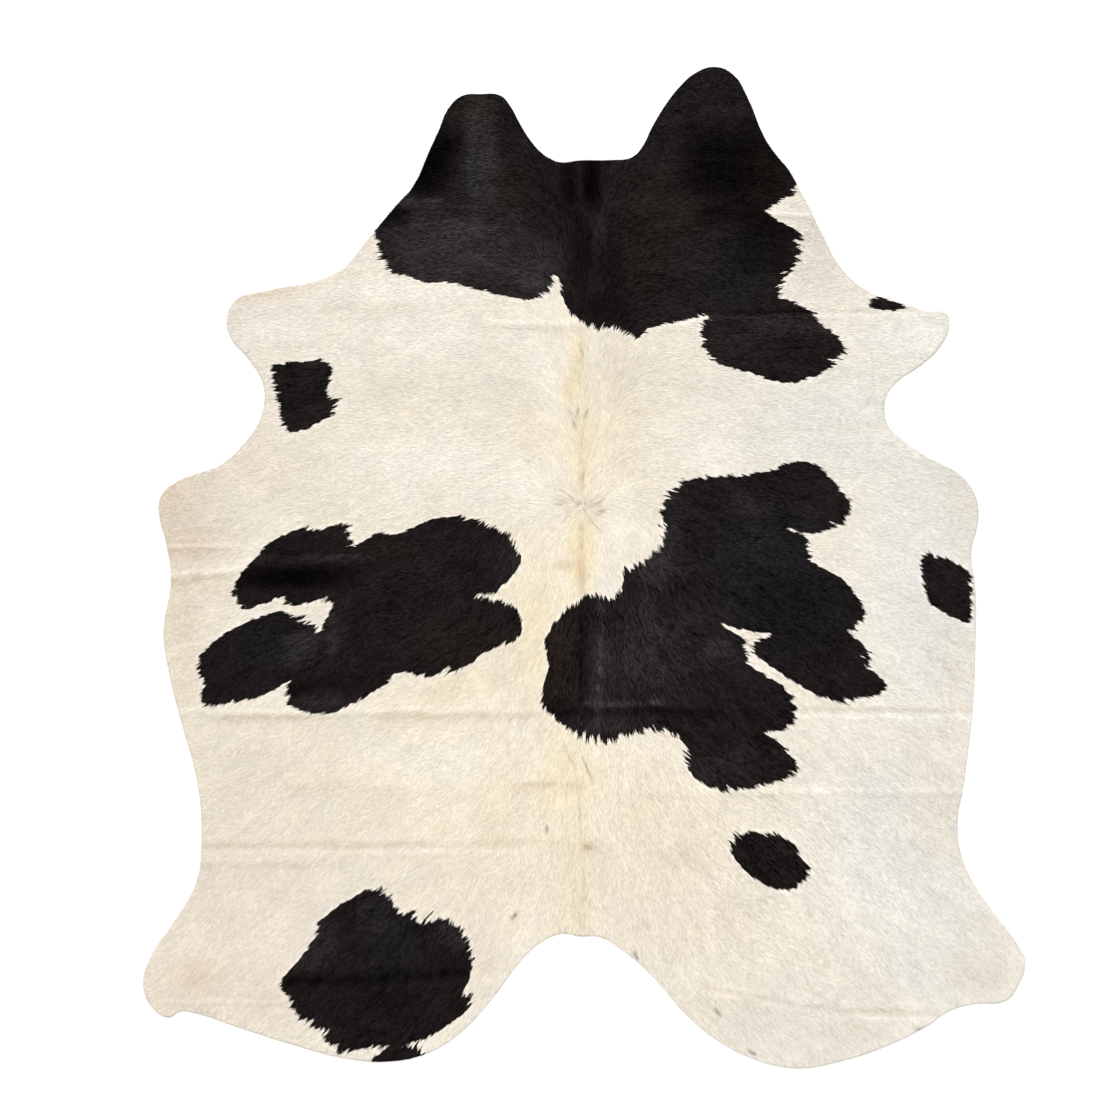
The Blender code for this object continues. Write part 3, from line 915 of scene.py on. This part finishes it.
def under_hair(coat):
    """The short underhair on the grain side: what shows between tufts, cream or black as the markings
    are, and deeper than the coat above it."""
    material, tree, shader = new_material("cattle underhair")
    marking = add(tree, "Attribute", "Fac", {}, attribute_name="marking")
    black = add(tree, "MapRange", "Result", {"Value": marking, "From Min": 1.0, "From Max": -1.0})
    colours = {MIX_SHARE: black, MIX_FROM: rgba(coat.cream_root), MIX_TO: rgba(coat.black_root)}
    hair = add(tree, "Mix", MIX_RESULT, colours, data_type="RGBA")
    feed(shader, {"Base Color": hair, "Roughness": 0.8, "Specular IOR Level": 0.1})
    return material


def suede(skin):
    """Chrome tanned split suede, the flesh side: a matt pale nap with soft cloudy patches 71 mm across.
    The nap's fibres, 0.1 mm thick, are too fine to show, so it is drawn in grains of 1.4 mm."""
    material, tree, shader = new_material("flesh side suede")
    place = add(tree, "TexCoord", "Object", {})
    cloud = add(tree, "TexNoise", "Fac", {"Vector": place, "Scale": 1 / (71.4 * MM), "Detail": 6.0})
    colours = {MIX_SHARE: cloud, MIX_FROM: rgba(skin.cut), MIX_TO: rgba(skin.suede)}
    hide = add(tree, "Mix", MIX_RESULT, colours, data_type="RGBA")
    nap = add(tree, "TexNoise", "Fac", {"Vector": place, "Scale": 1 / (1.43 * MM), "Detail": 3.0})
    bump = add(tree, "Bump", "Normal", {"Height": nap, "Strength": 0.5, "Distance": 0.3 * MM})
    feed(shader, {"Base Color": hide, "Normal": bump, "Roughness": 0.95, "Specular IOR Level": 0.2})
    return material


def painted_floor(stage):
    """A matt painted studio floor, pale and without pattern, with the 2.5 mm stipple of a roller."""
    material, tree, shader = new_material("matt painted floor")
    place = add(tree, "TexCoord", "Object", {})
    stipple = add(tree, "TexNoise", "Fac", {"Vector": place, "Scale": 1 / (2.5 * MM)})
    bump = add(tree, "Bump", "Normal", {"Height": stipple, "Strength": 0.1, "Distance": 0.1 * MM})
    feed(shader, {"Base Color": rgba(stage.floor), "Normal": bump, "Roughness": 0.9})
    return material


# --- pieces ---------------------------------------------------------------------------------------


def cut_rows(sheet, point, normal):
    """Cuts a flat sheet along an upright plane. Points near the plane count as on it, or slivers form."""
    geometry = sheet.faces[:] + sheet.edges[:] + sheet.verts[:]
    bmesh.ops.bisect_plane(sheet, geom=geometry, dist=0.5 * MM, plane_co=point, plane_no=normal)


def fold_planes(fold):
    """The upright planes that let the skin bend at a fold line."""
    start = Vector((*fold.start, 0.0)) * MM
    along = (Vector((*fold.end, 0.0)) * MM - start).normalized()
    across = Vector((-along.y, along.x, 0.0))
    for row in (-1.0, -0.5, 0.0, 0.5, 1.0):
        yield start + across * row * fold.width * MM / 2, across


def skin_mesh(skin):
    """The grain side's surface, cut into rows and raised at its fold lines."""
    sheet = flat_cut()
    low, high = (Vector(corner) for corner in CAD_BOX)
    for axis in range(2):
        normal = Vector((1.0 - axis, axis, 0.0))
        for row in range(1, math.ceil((high[axis] - low[axis]) / skin.step)):
            cut_rows(sheet, low + normal * row * skin.step, normal)
    for fold in lines(FOLDS + CREASES):
        for point, normal in fold_planes(fold):
            cut_rows(sheet, point, normal)
    mesh = bpy.data.meshes.new("skin")
    sheet.to_mesh(mesh)
    sheet.free()
    corners = np.empty(len(mesh.vertices) * 3)
    mesh.vertices.foreach_get("co", corners)
    corners = corners.reshape(-1, 3)
    corners[:, 2] = rise(corners[:, :2])
    mesh.vertices.foreach_set("co", corners.ravel())
    carry(mesh, "marking", markings().at(corners[:, :2]) / MM)
    mesh.shade_smooth()
    return mesh


def carry(mesh, name, values):
    """Stores one number for each of a mesh's points, for its material to read."""
    mesh.attributes.new(name, "FLOAT", "POINT").data.foreach_set("value", values.astype(np.float32))


def put(name, data):
    """Puts a new object in the scene."""
    item = bpy.data.objects.new(name, data)
    bpy.context.scene.collection.objects.link(item)
    return item


def show(name, mesh, materials):
    """Puts a finished piece in the scene, riding on the rug's one body."""
    piece = put(name, mesh)
    for material in materials:
        mesh.materials.append(material)
    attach(piece, BODY)
    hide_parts(HIDE_NODE)
    return piece


Tufts = namedtuple("Tufts", "root tip across stand roll tone black")


def roots(coat):
    """Where the tufts grow: a jittered grid over the hide, up to its cut edge."""
    low, high = (np.array(corner[:2]) for corner in CAD_BOX)
    columns, rows = (np.arange(a, b, coat.spacing) for a, b in zip(low, high))
    grid = np.stack(np.meshgrid(columns, rows, indexing="ij"), axis=2).reshape(-1, 2)
    draw = np.random.default_rng(21)
    places = grid + draw.uniform(-0.5, 0.5, grid.shape) * coat.spacing
    return places[cut_edge().at(places) < -ROOT_INSET]


def locks(places, spacing, seed):
    """The lock that each tuft belongs to: its middle, and three random numbers of its own."""
    cells = int(2 * LOCK_REACH / spacing) + 3
    draw = np.random.default_rng(seed)
    middles = draw.uniform(0.0, 1.0, (cells, cells, 2))
    numbers = draw.uniform(-1.0, 1.0, (cells, cells, 3))
    position = (places + LOCK_REACH) / spacing
    home = np.floor(position).astype(int)
    best = np.full(len(places), np.inf)
    chosen = np.zeros_like(home)
    for i in (-1, 0, 1):
        for j in (-1, 0, 1):
            cell = np.clip(home + (i, j), 0, cells - 1)
            distance = ((cell + middles[cell[:, 0], cell[:, 1]] - position) ** 2).sum(axis=1)
            nearer = distance < best
            best[nearer] = distance[nearer]
            chosen[nearer] = cell[nearer]
    i, j = chosen.T
    return (chosen + middles[i, j]) * spacing - LOCK_REACH, numbers[i, j]


def lock_tips(coat, middle, numbers, length, strength):
    """Where the tips of a lock meet."""
    lie = turn(hair_direction(middle), TIPS_STRAY * numbers[:, 0])
    return middle + lie * (length * (1.0 + strength * numbers[:, 1]))[:, None]


def comb(coat):
    """Every tuft of the coat: its root and tip, and what its mesh carries. Tips draw together in small
    locks, and in bigger ones that are all black or all cream along the edges of the markings."""
    root = roots(coat)
    draw = np.random.default_rng(23)
    count = len(root)
    small, small_numbers = locks(root, coat.lock, seed=22)
    big, big_numbers = locks(root, coat.edge_lock, seed=24)
    to_marking = np.abs(markings().at(root))
    edge = 1.0 - ease(to_marking, *(end * coat.edge_lock for end in EDGE_BAND))
    across, along = root.T / MM
    short = 1.0 - CHEEKS_SHORTER * ease(along, *CHEEKS) - LEGS_SHORTER * ease(np.abs(across), *LEGS)
    length = coat.length * short
    flow = hair_direction(root)
    in_whorl = np.exp(-((np.hypot(*(root / MM - np.array(WHORL)).T) / WHORL_MIDDLE) ** 2))
    strays = draw.normal(0.0, TUFT_STRAY + WHORL_STRAY * in_whorl) + LOCK_STRAY * small_numbers[:, 0]
    lie = turn(flow, strays)
    tip = root + lie * (length * (1.0 + draw.normal(0.0, LENGTH_SPREAD, count)))[:, None]
    small_tip = lock_tips(coat, small, small_numbers, length, SMALL_SPREAD)
    big_tip = lock_tips(coat, big, big_numbers, length * EDGE_LONGER, EDGE_SPREAD)
    pull = (1.0 - edge) * coat.gather * (0.7 + 0.3 * small_numbers[:, 2])
    big_pull = edge * coat.edge_gather
    tip += (small_tip - tip) * pull[:, None] + (big_tip - tip) * big_pull[:, None]
    beyond = cut_edge().at(tip) - coat.overhang * draw.uniform(-1.0, 1.0, count)
    inside = cut_edge().at(root)
    keep = np.where(beyond > 0.0, np.clip(inside / (inside - beyond - 1e-9), SHORTEST, 1.0), 1.0)
    tip = root + (tip - root) * keep[:, None]
    seen, lock_seen = (root + tip) / 2, (big + big_tip) / 2
    spike = coat.spike * (1.0 - SPIKE_CUT * np.abs(streaks(seen, flow, 8 * MM, 34 * MM, seed=32)))
    spike *= 0.55 + 0.55 * ripple(seen, 38 * MM, seed=36)
    marking = markings().at(seen + (lock_seen - seen) * LOCK_COLOUR - flow * spike[:, None])
    marking += EDGE_WAVER * ripple(root, 7 * MM, seed=31)
    tone = TUFT_TONE * draw.uniform(-1.0, 1.0, count) + LOCK_TONE * small_numbers[:, 2]
    tone += STREAK_TONE * streaks(root, flow, 12 * MM, 50 * MM, seed=35)
    tone *= 1.0 + tinted("rough", root)
    tone += SMALL_CLOUD * ripple(root, 45 * MM, seed=33) + BIG_CLOUD * ripple(root, 120 * MM, seed=34)
    return Tufts(
        root, tip, coat.width * keep**0.5, coat.rise * draw.normal(1.0, STAND_SPREAD, count),
        coat.roll * draw.normal(0.0, 1.0, count), tone, marking < 0.0,
    )


def coat_mesh(region, tufts, skin, chosen):
    """The chosen tufts as one mesh. Each is a kite of two faces: a root under its neighbours, a wide
    middle and a pointed tip."""
    root, tip = tufts.root[chosen], tufts.tip[chosen]
    run = tip - root
    middle = root + run * TUFT_MIDDLE
    sideways = np.stack((-run[:, 1], run[:, 0]), axis=1)
    sideways /= np.hypot(*sideways.T)[:, None] + 1e-9
    half = tufts.across[chosen] / 2
    left, right = middle + sideways * half[:, None], middle - sideways * half[:, None]
    stand = tufts.stand[chosen]
    tilt = half * np.sin(tufts.roll[chosen])
    flat = np.stack((root, left, right, tip), axis=1)
    count = len(flat)
    height = rise(flat.reshape(-1, 2)).reshape(count, 4) + skin.thickness
    height[:, 0] -= ROOT_DEPTH
    height[:, 1] += MIDDLE_STAND * stand + tilt
    height[:, 2] += MIDDLE_STAND * stand - tilt
    height[:, 3] += stand
    points = np.concatenate((flat, height[:, :, None]), axis=2).reshape(-1, 3)
    corners = (np.arange(count)[:, None] * 4 + np.array((0, 2, 1, 1, 2, 3))).ravel()
    mesh = bpy.data.meshes.new(region.name)
    mesh.vertices.add(count * 4)
    mesh.vertices.foreach_set("co", points.ravel())
    mesh.loops.add(count * 6)
    mesh.loops.foreach_set("vertex_index", corners)
    mesh.polygons.add(count * 2)
    mesh.polygons.foreach_set("loop_start", np.arange(count * 2) * 3)
    mesh.update(calc_edges=True)
    mesh.shade_smooth()
    places = points[:, :2]
    carry(mesh, "along", np.tile((0.0, MIDDLE_COLOUR, MIDDLE_COLOUR, 1.0), count))
    carry(mesh, "tone", np.repeat(tufts.tone[chosen], 4))
    shares = black_shares(places) if region.black else cream_shares(places)
    for family, values in shares.items():
        carry(mesh, family, values)
    plan = mesh.uv_layers.new(name="OFBake")
    low, high = places.min(0), places.max(0)
    plan.data.foreach_set("uv", ((places - low) / (high - low).max())[corners].ravel())
    return mesh


def scene_settings(context):
    """The three groups of settings."""
    scene = context.scene
    return scene.cowhide_skin, scene.cowhide_coat, scene.cowhide_stage


class COWHIDE_OT_skin(bpy.types.Operator):
    """Lays the tanned skin on the floor, on the fold lines of its CAD solid."""

    bl_idname = "cowhide.skin"
    bl_label = "Skin"

    def execute(self, context):
        skin, coat, _ = scene_settings(context)
        materials = [under_hair(coat), suede(skin)]
        piece = show("skin", skin_mesh(skin), materials)
        wall = piece.modifiers.new("skin thickness", "SOLIDIFY")
        wall.thickness = skin.thickness
        wall.offset = 1.0
        wall.material_offset = 0
        wall.material_offset_rim = 1
        return {"FINISHED"}


# The coat's pieces: which colour, and how far along the hide each runs, in millimetres
Region = namedtuple("Region", "name black start end")
REGIONS = (
    Region("cream_shoulders", False, 300, 1200),
    Region("cream_ribs", False, -60, 300),
    Region("cream_loin", False, -480, -60),
    Region("cream_rump", False, -830, -480),
    Region("cream_hocks", False, -1200, -830),
    Region("black_head", True, 380, 1200),
    Region("black_back", True, -1200, 380),
)


class COWHIDE_OT_coat(bpy.types.Operator):
    """Grows the coat on the skin, one piece for each region of a colour."""

    bl_idname = "cowhide.coat"
    bl_label = "Coat"

    def execute(self, context):
        skin, coat, _ = scene_settings(context)
        tufts = comb(coat)
        hair = {False: (cream_hair(coat), CREAM_SLOT), True: (black_hair(coat), BLACK_SLOT)}
        along = tufts.root[:, 1] / MM
        for region in REGIONS:
            chosen = (tufts.black == region.black) & (along >= region.start) & (along < region.end)
            mesh = coat_mesh(region, tufts, skin, chosen)
            material, slot = hair[region.black]
            show(region.name, mesh, [material])
        return {"FINISHED"}


# The stage, in metres: half the floor's side, which way the light of the broad window at the head end
# shines and how wide that window looks, where the camera hangs over the hide, and how far it sees
FLOOR_HALF = 9.0
KEY_DIRECTION = Vector((0.2, -1.0, -1.45))
KEY_SIZE = math.radians(30)
CAMERA_PLACE = (-0.0693, 0.0329)
CAMERA_SIGHT = 50.0


class COWHIDE_OT_stage(bpy.types.Operator):
    """Sets the pale floor, the soft lights and the camera above the rug."""

    bl_idname = "cowhide.stage"
    bl_label = "Stage"

    def execute(self, context):
        _, _, stage = scene_settings(context)
        ground = bmesh.new()
        bmesh.ops.create_grid(ground, x_segments=1, y_segments=1, size=FLOOR_HALF)
        mesh = bpy.data.meshes.new("floor")
        ground.to_mesh(mesh)
        ground.free()
        mesh.materials.append(painted_floor(stage))
        put("floor", mesh)
        window = bpy.data.lights.new("key", "SUN")
        window.energy = stage.key
        window.angle = KEY_SIZE
        put("key", window).rotation_euler = KEY_DIRECTION.to_track_quat("-Z", "Y").to_euler()
        world = bpy.data.worlds.new("studio")
        world.use_nodes = True
        white = rgba(linear("#FFFFFF"))
        feed(world.node_tree.nodes["Background"], {"Color": white, "Strength": stage.sky})
        context.scene.world = world
        context.scene.view_settings.view_transform = "Standard"
        camera = bpy.data.cameras.new("camera")
        camera.lens = stage.lens
        camera.clip_end = CAMERA_SIGHT
        above = put("camera", camera)
        above.location = (*CAMERA_PLACE, stage.frame_width * stage.lens / camera.sensor_width)
        context.scene.camera = above
        return {"FINISHED"}


class COWHIDE_PT_rug(bpy.types.Panel):
    """The rug's pieces in the sidebar."""

    bl_label = "Cowhide rug"
    bl_idname = "COWHIDE_PT_rug"
    bl_space_type = "VIEW_3D"
    bl_region_type = "UI"
    bl_category = "Cowhide"

    def draw(self, context):
        for operator in (COWHIDE_OT_skin, COWHIDE_OT_coat, COWHIDE_OT_stage):
            self.layout.operator(operator.bl_idname)


SETTINGS = {
    "cowhide_skin": CowhideSkinSettings,
    "cowhide_coat": CowhideCoatSettings,
    "cowhide_stage": CowhideStageSettings,
}
CLASSES = (*SETTINGS.values(), COWHIDE_OT_skin, COWHIDE_OT_coat, COWHIDE_OT_stage, COWHIDE_PT_rug)


def register():
    for item in CLASSES:
        bpy.utils.register_class(item)
    for name, group in SETTINGS.items():
        setattr(bpy.types.Scene, name, bpy.props.PointerProperty(type=group))


def unregister():
    for name in SETTINGS:
        delattr(bpy.types.Scene, name)
    for item in reversed(CLASSES):
        bpy.utils.unregister_class(item)


def main():
    register()
    bpy.ops.cowhide.skin()
    bpy.ops.cowhide.coat()
    bpy.ops.cowhide.stage()


if __name__ == "__main__":
    main()
